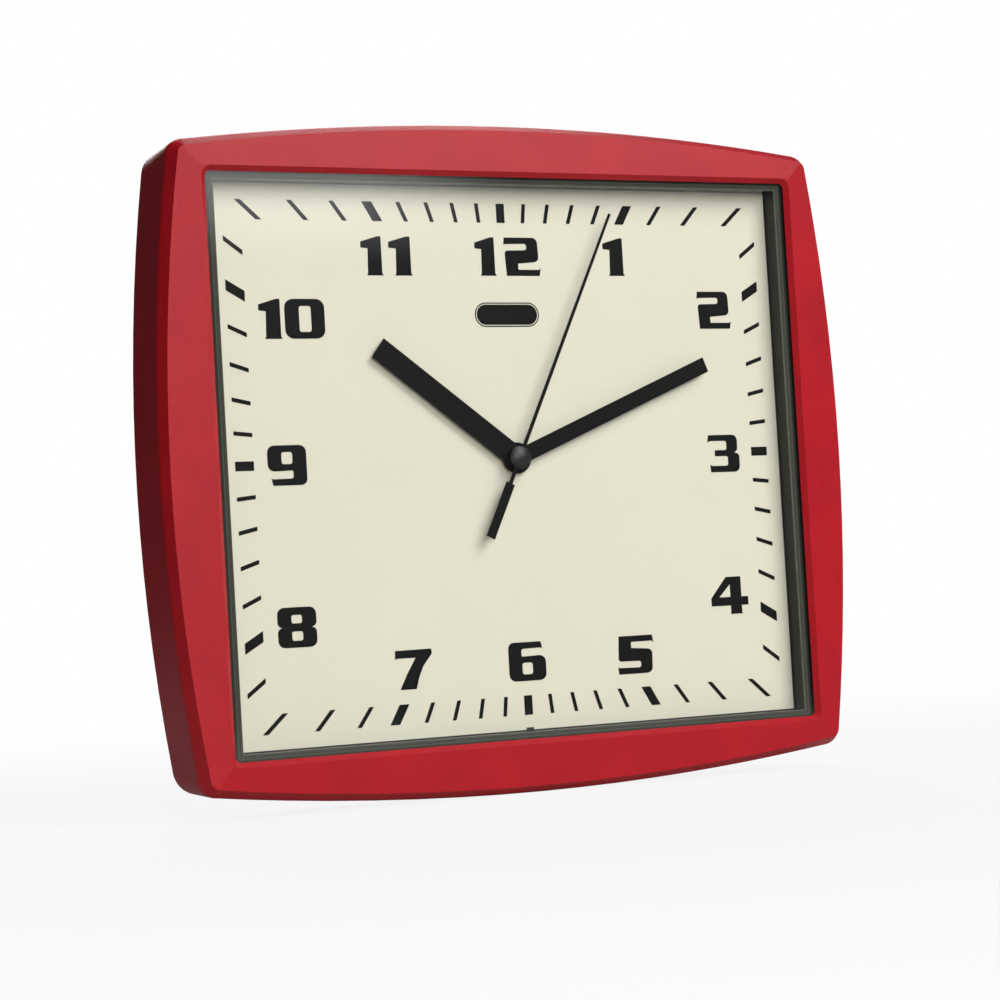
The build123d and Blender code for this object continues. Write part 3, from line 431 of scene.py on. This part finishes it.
# %% [markdown]
# ## Screws
# Four pan-head screws hold the cover. A head starts as its flat top: a circle with a cross-shaped hole,
# filled between the two outlines. The cross goes down as the driver's recess, and the circle is drawn out
# and down step by step into the dome, the underside and the shank. No two screws stop at the same angle, so
# each copy is turned a little further.

# %% Screws
ARM, SLOT, RECESS = 1.3 * MM, 0.36 * MM, 0.85 * MM
CROSS = ((SLOT, SLOT), (SLOT, ARM), (-SLOT, ARM), (-SLOT, SLOT), (-ARM, SLOT), (-ARM, -SLOT), (-SLOT, -SLOT),
         (-SLOT, -ARM), (SLOT, -ARM), (SLOT, -SLOT), (ARM, -SLOT), (ARM, SLOT))
TOP_RADIUS, TOP_LEVEL, SCREW_SIDES = 1.75 * MM, 1.6 * MM, 48
RECESS_TAPER = 0.7
# in radians
FIRST_TURN, NEXT_TURN = 0.4, 1.1
# radius and level of each step below the flat top, in millimetres
SCREW_STEPS = ((2.3, 1.38), (2.62, 1.05), (2.8, 0.6), (2.8, 0.05), (1.2, 0.05), (1.2, -8.4), (0.15, -10.0))


def drawn_out(bm, edges, factor, depth):
    """Extrude a loop of edges, scale it about its own axis and move it along Z. Returns the new loop."""
    made = bmesh.ops.extrude_edge_only(bm, edges=edges)["geom"]
    fresh = [item for item in made if isinstance(item, bmesh.types.BMVert)]
    bmesh.ops.scale(bm, vec=(factor, factor, 1), verts=fresh)
    bmesh.ops.translate(bm, vec=(0, 0, depth), verts=fresh)
    return [item for item in made if isinstance(item, bmesh.types.BMEdge)]


one = bmesh.new()
bmesh.ops.create_circle(one, segments=SCREW_SIDES, radius=TOP_RADIUS)
loop = one.edges[:]
corners = [one.verts.new((*point, 0)) for point in CROSS]
cross = [one.edges.new((corners[place - 1], corners[place])) for place in range(len(corners))]
bmesh.ops.triangle_fill(one, use_beauty=True, edges=one.edges[:])
bmesh.ops.translate(one, vec=(0, 0, TOP_LEVEL), verts=one.verts)
recess_end = drawn_out(one, cross, RECESS_TAPER, -RECESS)
bmesh.ops.edgeloop_fill(one, edges=recess_end)
radius, level = TOP_RADIUS, TOP_LEVEL
for wide, height in SCREW_STEPS:
    loop = drawn_out(one, loop, wide * MM / radius, height * MM - level)
    radius, level = wide * MM, height * MM
bmesh.ops.edgeloop_fill(one, edges=loop)
bmesh.ops.recalc_face_normals(one, faces=one.faces)
bmesh.ops.rotate(one, cent=(0, 0, 0), matrix=Matrix.Rotation(-math.pi / 2, 3, "X"), verts=one.verts)
pattern = bpy.data.meshes.new("screw")
one.to_mesh(pattern)
one.free()

heads = merged("case_screws")
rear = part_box("case_screws")[1][1]
tops = [face for face in heads.faces if face.normal.y > 0.9 and face.calc_center_median().y > rear - NEAR]
spots = [face.calc_center_bounds() for face in tops]
heads.free()
bm = bmesh.new()
for turn, spot in enumerate(spots):
    before = len(bm.verts)
    bm.from_mesh(pattern)
    bm.verts.ensure_lookup_table()
    fresh = bm.verts[before:]
    bmesh.ops.rotate(bm, cent=(0, 0, 0), matrix=Matrix.Rotation(FIRST_TURN + NEXT_TURN * turn, 3, "Y"),
                     verts=fresh)
    bmesh.ops.translate(bm, vec=(spot.x, 0, spot.z), verts=fresh)
bpy.data.meshes.remove(pattern)
screws = finish_piece("case_screws_dressed", bm, "case", "zinc_steel")
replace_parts(screws, "case_screws")
print("screws:", len(spots))

# %% [markdown]
# ## Battery
# The cell is a steel can in a printed sleeve that leaves the two ends bare. Half of its section, spun about
# its axis, gives the whole cell. Faces near the axis are bare steel, and one stretch of the sleeve is pale.

# %% Battery
NUB_RADIUS, NUB_LENGTH = 2.75, 1.0
CELL_SIDES = 64
low, high = (Vector(corner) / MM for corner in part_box("battery"))
length = high.x - low.x
wide = (high.z - low.z) / 2
end = length - NUB_LENGTH
BARE = 6.0
BAND = (end - 9.0, end - 4.0)
# distance from the axis and way along it, in millimetres
SECTION_POINTS = ((0, 0.2), (4.4, 0.2), (4.7, 0), (5.9, 0), (wide - 0.5, 0.15), (wide, 0.8), (wide, BAND[0]),
                  (wide, BAND[1]), (wide, end - 0.8), (wide - 0.5, end - 0.1), (5.9, end), (NUB_RADIUS + 0.6, end),
                  (NUB_RADIUS, end + 0.2), (NUB_RADIUS, length - 0.35), (NUB_RADIUS - 0.4, length), (0, length))
bm = bmesh.new()
corners = [bm.verts.new((along, 0, out)) for out, along in SECTION_POINTS]
section = [bm.edges.new(pair) for pair in zip(corners, corners[1:])]
bmesh.ops.spin(bm, geom=corners + section, cent=(0, 0, 0), axis=(1, 0, 0), dvec=(0, 0, 0), angle=2 * math.pi,
               steps=CELL_SIDES, use_merge=True)
bmesh.ops.remove_doubles(bm, verts=bm.verts, dist=0.001)
bmesh.ops.recalc_face_normals(bm, faces=bm.faces)
for face in bm.faces:
    middle = face.calc_center_median()
    if Vector((middle.y, middle.z)).length < BARE:
        face.material_index = 1
    elif BAND[0] < middle.x < BAND[1]:
        face.material_index = 2
bmesh.ops.scale(bm, vec=(MM, MM, MM), verts=bm.verts)
bmesh.ops.translate(bm, vec=Vector((low.x, (low.y + high.y) / 2, (low.z + high.z) / 2)) * MM, verts=bm.verts)
cell = finish_piece("battery_dressed", bm, "battery", "cell_sleeve")
cell.data.materials.append(finishes["zinc_steel"])
cell.data.materials.append(finishes["knob_plastic"])
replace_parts(cell, "battery")
print("battery length in mm:", round(length, 2))

# %% [markdown]
# ## Hands
# The hands are stamped from thin sheet and painted black. Stamping leaves one edge slightly rolled, so a
# narrow bevel is all they need. The cap is a small turned dome: the top of a sphere, cut off flat, with its
# foot rounded.

# %% Hands and cap
SHEET_ROUND, NEEDLE_ROUND, CAP_ROUND = 0.12, 0.08, 0.15
CAP_SIDES, CAP_RINGS = 64, 96

dress("hour_hand", "hour", SHEET_ROUND)
dress("minute_hand", "minute", SHEET_ROUND)
dress("second_hand", "seconds", NEEDLE_ROUND)

low, high = (Vector(corner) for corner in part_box("hand_cap"))
cap_radius = (high.x - low.x) / 2
cap_height = high.y - low.y
ball = (cap_radius ** 2 + cap_height ** 2) / (2 * cap_height)
bm = bmesh.new()
bmesh.ops.create_uvsphere(bm, u_segments=CAP_SIDES, v_segments=CAP_RINGS, radius=ball)
bmesh.ops.rotate(bm, cent=(0, 0, 0), matrix=Matrix.Rotation(math.pi / 2, 3, "X"), verts=bm.verts)
bmesh.ops.translate(bm, vec=(hub.x, low.y + ball, hub.z), verts=bm.verts)
cut = bmesh.ops.bisect_plane(bm, geom=bm.verts[:] + bm.edges[:] + bm.faces[:], plane_co=(0, high.y, 0),
                             plane_no=(0, 1, 0), clear_outer=True)["geom_cut"]
foot = [line for line in cut if isinstance(line, bmesh.types.BMEdge)]
bmesh.ops.edgeloop_fill(bm, edges=foot)
bmesh.ops.recalc_face_normals(bm, faces=bm.faces)
round_off(bm, foot, CAP_ROUND)
cap = finish_piece("hand_cap_dome", bm, "seconds", "black_gloss")
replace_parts(cap, "hand_cap")
print("cap across in mm:", round(2 * cap_radius / MM, 2))

# %% [markdown]
# ## Minute marks
# The sixty marks lie on rays from the hub, cut off square to the dial's sides. Each starts as a unit
# square. One matrix gives it its width and length, leans it along its ray and turns it to its side.

# %% Marks
PRINT = 0.08 * MM
TRACK_X, TRACK_Z = 117.4 * MM, 99.4 * MM
MARK_LENGTH = 7.8 * MM
HOUR_MARK, MINUTE_MARK = 3.7 * MM, 1.62 * MM
on_dial = Matrix.Translation(hub) @ Matrix.Rotation(math.pi / 2, 4, "X")


def thicken(bm, faces):
    """Raise flat faces by the print's thickness and lay the result on the dial."""
    raised = bmesh.ops.extrude_face_region(bm, geom=faces)["geom"]
    bmesh.ops.translate(bm, vec=(0, 0, PRINT), verts=[v for v in raised if isinstance(v, bmesh.types.BMVert)])
    bmesh.ops.recalc_face_normals(bm, faces=bm.faces)
    bmesh.ops.transform(bm, matrix=on_dial, verts=bm.verts)


bm = bmesh.new()
for minute in range(60):
    angle = math.radians(6 * minute)
    ray = Vector((math.sin(angle), math.cos(angle), 0))
    on_row = abs(ray.x) * TRACK_Z < abs(ray.y) * TRACK_X
    reach = TRACK_Z / abs(ray.y) if on_row else TRACK_X / abs(ray.x)
    lean = ray.x / ray.y if on_row else ray.y / ray.x
    width = (MINUTE_MARK if minute % 5 else HOUR_MARK) * math.sqrt(1 + lean * lean)
    shape = Matrix(((width, lean * MARK_LENGTH, 0, 0), (0, MARK_LENGTH, 0, 0), (0, 0, 1, 0), (0, 0, 0, 1)))
    swap = Matrix.Identity(4) if on_row else Matrix(((0, 1, 0, 0), (1, 0, 0, 0), (0, 0, 1, 0), (0, 0, 0, 1)))
    bmesh.ops.create_grid(bm, x_segments=1, y_segments=1, size=0.5,
                          matrix=Matrix.Translation(ray * reach) @ swap @ shape)
thicken(bm, bm.faces[:])
finish_piece("minute_marks", bm, "case", "black_paint")

# %% [markdown]
# ## Numerals
# The numbers are wide, bold and squarish, with small wedges at their ends. A figure is drawn as an outline
# in a box a hundred units high: each corner is a point, with a third value where it is rounded off.
# Holes are outlines of their own. Rounding is a bevel of the corner, and a triangle fill closes the figure.

# %% Outlines of the figures
TWO = ((2, 100), (86, 100, 14), (88, 37, 12), (35, 32), (35, 16, 3), (88, 16), (92, 21), (89, 0), (5, 0),
       (2, 66, 8), (58, 67, 6), (58, 84, 6), (5, 83), (0, 81))
SIX = ((0, 100, 16), (88, 100), (92, 82), (86, 84), (35, 83, 6), (35, 63, 4), (100, 65, 18), (100, 0, 18),
       (0, 0, 18))
SIX_HOLE = ((36, 17, 6), (64, 17, 6), (64, 47, 6), (36, 47, 6))
FIGURES = {
    "0": [((0, 0, 22), (100, 0, 22), (100, 100, 22), (0, 100, 22)),
          ((36, 17, 6), (66, 17, 6), (66, 82, 6), (36, 82, 6))],
    "1": [((14, 0), (60, 0), (56, 6), (56, 100), (46, 100), (0, 86), (0, 71), (19, 69), (17, 6))],
    "2": [TWO],
    "3": [((3, 100), (95, 100, 16), (95, 57, 8), (84, 52), (100, 48, 8), (100, 0, 16), (7, 0), (5, 20),
           (13, 17), (63, 17, 6), (63, 43, 6), (22, 43), (22, 59), (60, 59, 6), (60, 84, 6), (8, 84), (0, 80))],
    "4": [((42, 100), (82, 100), (82, 46), (100, 46), (100, 23), (82, 23), (82, 3), (84, 0), (50, 0), (52, 3),
           (52, 23), (0, 23), (0, 44)), ((52, 80), (52, 46), (22, 46))],
    "5": [tuple((point[0], 100 - point[1], *point[2:]) for point in TWO)],
    "6": [SIX, SIX_HOLE],
    "7": [((1, 99), (98, 100), (100, 88), (75, 57), (62, 28), (54, 0), (10, 0), (31, 40), (55, 79), (5, 79),
           (0, 76))],
    "8": [((0, 100, 18), (100, 100, 18), (100, 53, 10), (88, 50), (100, 47, 10), (100, 0, 18), (0, 0, 18),
           (0, 47, 10), (12, 50), (0, 53, 10)),
          ((36, 60, 5), (63, 60, 5), (63, 81, 5), (36, 81, 5)),
          ((36, 17, 5), (64, 17, 5), (64, 40, 5), (36, 40, 5))],
    "9": [tuple((100 - point[0], 100 - point[1], *point[2:]) for point in loop) for loop in (SIX, SIX_HOLE)],
}
print("figures drawn:", len(FIGURES))

# %% [markdown]
# ## Numbers in their places
# All figures are equally high, and each is stretched to its own width. One place gives the figure, its left and
# right edges and the height of its middle, in millimetres from the hub. A figure is made by itself, because a
# fill would join it to its neighbours, and then it is added to the one piece that holds all the print.

# %% Figures on the dial
FIGURE_HEIGHT, BOX_HEIGHT = 15.6, 100
CORNER_STEPS = 5
PLACES = (("1", -12.6, -3.1, 81.8), ("2", 0.6, 17.2, 81.8), ("1", -63.2, -53.6, 81.7), ("1", -51.0, -40.8, 81.7),
          ("1", 46.9, 56.9, 82.0), ("2", 90.9, 107.2, 59.9), ("3", 92.0, 107.4, -0.5), ("4", 89.3, 107.5, -60.1),
          ("5", 42.6, 60.0, -82.1), ("6", -7.8, 9.1, -81.9), ("7", -58.2, -41.9, -82.0), ("8", -107.3, -90.9, -62.8),
          ("9", -107.8, -91.4, -0.1), ("1", -108.2, -98.5, 56.8), ("0", -97.3, -80.3, 56.8))


def draw(bm, loops):
    """Lay out a figure's outlines as faces, with their corners rounded."""
    for loop in loops:
        corners = [bm.verts.new((point[0], point[1], 0)) for point in loop]
        bm.faces.new(corners)
        for radius in sorted({point[2] for point in loop if len(point) > 2}):
            bent = [corner for corner, point in zip(corners, loop) if point[2:] == (radius,)]
            bmesh.ops.bevel(bm, geom=bent, offset=radius, offset_type="OFFSET", affect="VERTICES",
                            segments=CORNER_STEPS, profile=0.5, material=-1)


bm = bmesh.new()
for figure, left, right, level in PLACES:
    one = bmesh.new()
    draw(one, FIGURES[figure])
    bmesh.ops.delete(one, geom=one.faces[:], context="FACES_ONLY")
    bmesh.ops.triangle_fill(one, use_beauty=True, edges=one.edges[:])
    low = min(vert.co.x for vert in one.verts)
    wide = max(vert.co.x for vert in one.verts) - low
    size = Vector(((right - left) / wide * MM, FIGURE_HEIGHT / BOX_HEIGHT * MM, 1))
    bmesh.ops.translate(one, vec=(-low, -BOX_HEIGHT / 2, 0), verts=one.verts)
    bmesh.ops.scale(one, vec=size, verts=one.verts)
    bmesh.ops.translate(one, vec=(left * MM, level * MM, 0), verts=one.verts)
    mesh = bpy.data.meshes.new("figure")
    one.to_mesh(mesh)
    one.free()
    bm.from_mesh(mesh)
    bpy.data.meshes.remove(mesh)
thicken(bm, bm.faces[:])
finish_piece("numerals", bm, "case", "black_paint")

# %% [markdown]
# ## The bare badge
# A small printed pill above the hub is left bare: black, with a fine pale line just inside its edge. A circle
# whose two halves are moved apart gives the pill, and two insets give the line.

# %% Badge
BADGE_X, BADGE_Z = 0.5 * MM, 58.2 * MM
BADGE_WIDTH, BADGE_HEIGHT = 29.3 * MM, 9.9 * MM
BADGE_RIM, BADGE_LINE = 0.5 * MM, 0.32 * MM
BADGE_SIDES = 64

bm = bmesh.new()
bmesh.ops.create_circle(bm, cap_ends=True, segments=BADGE_SIDES, radius=BADGE_HEIGHT / 2)
bmesh.ops.rotate(bm, cent=(0, 0, 0), matrix=Matrix.Rotation(math.pi / BADGE_SIDES, 3, "Z"), verts=bm.verts)
for side in (-1, 1):
    half = [vert for vert in bm.verts if vert.co.x * side > 0]
    bmesh.ops.translate(bm, vec=(side * (BADGE_WIDTH - BADGE_HEIGHT) / 2, 0, 0), verts=half)
bmesh.ops.translate(bm, vec=(BADGE_X, BADGE_Z, 0), verts=bm.verts)
bmesh.ops.inset_region(bm, faces=bm.faces[:], thickness=BADGE_RIM, use_even_offset=True, use_boundary=True)
field = max(bm.faces, key=lambda face: face.calc_area())
line_ring = bmesh.ops.inset_region(bm, faces=[field], thickness=BADGE_LINE, use_even_offset=True)["faces"]
for face in line_ring:
    face.material_index = 1
thicken(bm, bm.faces[:])
badge = finish_piece("badge", bm, "case", "black_paint")
badge.data.materials.append(finishes["cream_dial"])

# %% [markdown]
# ## Floor
# The clock stands on a pale matt floor, a disc that fades away before its rim would show. The camera sees it
# lifted nearly to white, while the clock's soft shadow stays on it, and other rays meet the plain matt board.

# %% Floor
FLOOR_RADIUS, FLOOR_SIDES = 2.6, 64
FADE_START, FADE_END = 0.3, 1.1
FLOOR_LIFT = 0.87

floor_finish, tree = start("pale studio floor")
place = add(tree, "ShaderNodeTexCoord").outputs["Object"]
away = add(tree, "ShaderNodeVectorMath", {0: place}, operation="LENGTH").outputs["Value"]
fade = add(tree, "ShaderNodeMapRange", {"Value": away, "From Min": FADE_START, "From Max": FADE_END},
           interpolation_type="SMOOTHSTEP")
path = add(tree, "ShaderNodeLightPath")
lift = add(tree, "ShaderNodeMath", {0: path.outputs["Is Camera Ray"], 1: FLOOR_LIFT}, operation="MULTIPLY")
matt = add(tree, "ShaderNodeBsdfPrincipled", {"Base Color": linear("BDBDBB"), "Roughness": 0.8})
glow = add(tree, "ShaderNodeEmission", {"Color": linear("FFFFFF"), "Strength": 1.0})
lit = add(tree, "ShaderNodeMixShader", {0: lift.outputs[0], 1: matt.outputs[0], 2: glow.outputs[0]})
gone = add(tree, "ShaderNodeBsdfTransparent")
faded = add(tree, "ShaderNodeMixShader", {0: fade.outputs["Result"], 1: lit.outputs[0], 2: gone.outputs[0]})
add(tree, "ShaderNodeOutputMaterial", {"Surface": faded.outputs[0]})
bm = bmesh.new()
bmesh.ops.create_circle(bm, cap_ends=True, segments=FLOOR_SIDES, radius=FLOOR_RADIUS)
bmesh.ops.translate(bm, vec=(0, 0, cad_box[0][2]), verts=bm.verts)
floor = object_of("floor", bm, floor_finish)
print("floor at", round(cad_box[0][2], 4))

# %% [markdown]
# ## Light
# One large soft lamp stands above on the right, a weaker one in front on the left, and one behind for the
# views of the back. The surround is white to the eye and through the pane, but gives the clock only a little
# light: a bright surround in every gloss would turn the red sides grey and veil the whole pane. For the same
# reason the lamps leave the pane out, or it would mirror them as hard white squares.

# %% Light
AMBIENT = 0.05
# place and size in metres, and power in watts
LAMPS = {
    "key": ((0.75, -1.4, 1.15), 1.3, 35.5),
    "fill": ((-0.43, -2.0, 0.35), 0.8, 17.8),
    "back": ((0.5, 1.6, 0.9), 1.2, 26.0),
}

scene = bpy.context.scene
scene.view_settings.view_transform = "Standard"
world = bpy.data.worlds.new("white surround")
scene.world = world
world.use_nodes = True
tree = world.node_tree
tree.nodes.clear()
path = add(tree, "ShaderNodeLightPath")
shown = add(tree, "ShaderNodeMath", {0: path.outputs["Is Camera Ray"], 1: path.outputs["Is Transmission Ray"]},
            operation="MAXIMUM")
dim = add(tree, "ShaderNodeBackground", {"Color": linear("FFFFFF"), "Strength": AMBIENT})
white = add(tree, "ShaderNodeBackground", {"Color": linear("FFFFFF"), "Strength": 1.0})
mixed = add(tree, "ShaderNodeMixShader", {0: shown.outputs[0], 1: dim.outputs[0], 2: white.outputs[0]})
add(tree, "ShaderNodeOutputWorld", {"Surface": mixed.outputs[0]})

off_lens = bpy.data.collections.new("not lit by lamps")
off_lens.objects.link(frame["nodes"]["lens"])
off_lens.collection_objects[0].light_linking.link_state = "EXCLUDE"
centre = (Vector(cad_box[0]) + Vector(cad_box[1])) / 2
for name, (spot, size, power) in LAMPS.items():
    lamp = bpy.data.lights.new(name, "AREA")
    lamp.size = size
    lamp.energy = power
    holder = bpy.data.objects.new(name, lamp)
    holder.location = spot
    holder.rotation_euler = (centre - Vector(spot)).to_track_quat("-Z", "Y").to_euler()
    holder.light_linking.receiver_collection = off_lens
    scene.collection.objects.link(holder)
print("lamps placed:", len(LAMPS))

# %% [markdown]
# ## Something for the lens to mirror
# A flat clear pane can only be seen by what it mirrors. A pale card stands high to the right of the camera,
# where the upper left of the pane mirrors it as a faint veil. It fades out downwards and to the right, so the
# veil has no hard edge. The card shows in mirrors alone: it lights nothing and casts no shadow.

# %% Card
CARD_LOW, CARD_HIGH = Vector((0.30, -2.0, 0.26)), Vector((1.10, -2.0, 0.60))
CARD_FULL_X, CARD_FULL_Z = 0.85, 0.36
CARD_GLOW = 2.6

card_finish, tree = start("pale card")
parts = add(tree, "ShaderNodeSeparateXYZ", {"Vector": add(tree, "ShaderNodeTexCoord").outputs["Object"]})
aside = add(tree, "ShaderNodeMapRange", {"Value": parts.outputs["X"], "From Min": CARD_FULL_X,
                                         "From Max": CARD_HIGH.x, "To Min": CARD_GLOW, "To Max": 0.0},
            interpolation_type="SMOOTHSTEP")
upward = add(tree, "ShaderNodeMapRange", {"Value": parts.outputs["Z"], "From Min": CARD_LOW.z,
                                          "From Max": CARD_FULL_Z}, interpolation_type="SMOOTHSTEP")
fade = add(tree, "ShaderNodeMath", {0: aside.outputs["Result"], 1: upward.outputs["Result"]}, operation="MULTIPLY")
glow = add(tree, "ShaderNodeEmission", {"Color": linear("FAFCFF"), "Strength": fade.outputs[0]})
add(tree, "ShaderNodeOutputMaterial", {"Surface": glow.outputs[0]})
bm = bmesh.new()
bmesh.ops.create_grid(bm, x_segments=1, y_segments=1, size=0.5)
bmesh.ops.rotate(bm, cent=(0, 0, 0), matrix=Matrix.Rotation(-math.pi / 2, 3, "X"), verts=bm.verts)
bmesh.ops.scale(bm, vec=CARD_HIGH - CARD_LOW, verts=bm.verts)
bmesh.ops.translate(bm, vec=(CARD_LOW + CARD_HIGH) / 2, verts=bm.verts)
card = object_of("card", bm, card_finish)
card.visible_camera = card.visible_diffuse = card.visible_transmission = card.visible_shadow = False
print("card placed, across in m:", round(CARD_HIGH.x - CARD_LOW.x, 2))

# %% [markdown]
# ## Camera
# The sixty minute marks lie on rays from one centre. Fitting them to the photograph fixes the place, the turn
# and the focal length of the camera, so these numbers are measured and not round.

# %% Camera
SENSOR, FOCAL = 36.0, 101.05
CAMERA_AT = (-0.53493, -1.01468, -0.14410)
CAMERA_TURN = (92.2166, 3.2980, -27.7841)

optics = bpy.data.cameras.new("camera")
optics.sensor_width = SENSOR
optics.lens = FOCAL
camera = bpy.data.objects.new("camera", optics)
camera.location = CAMERA_AT
camera.rotation_euler = [math.radians(angle) for angle in CAMERA_TURN]
scene.collection.objects.link(camera)
scene.camera = camera
print("camera set, focal length in mm:", FOCAL)

# %% [markdown]
# ## End
# Dressing must not make the clock larger. This last cell only prints that the scene is built.

# %% End
print("scene built")
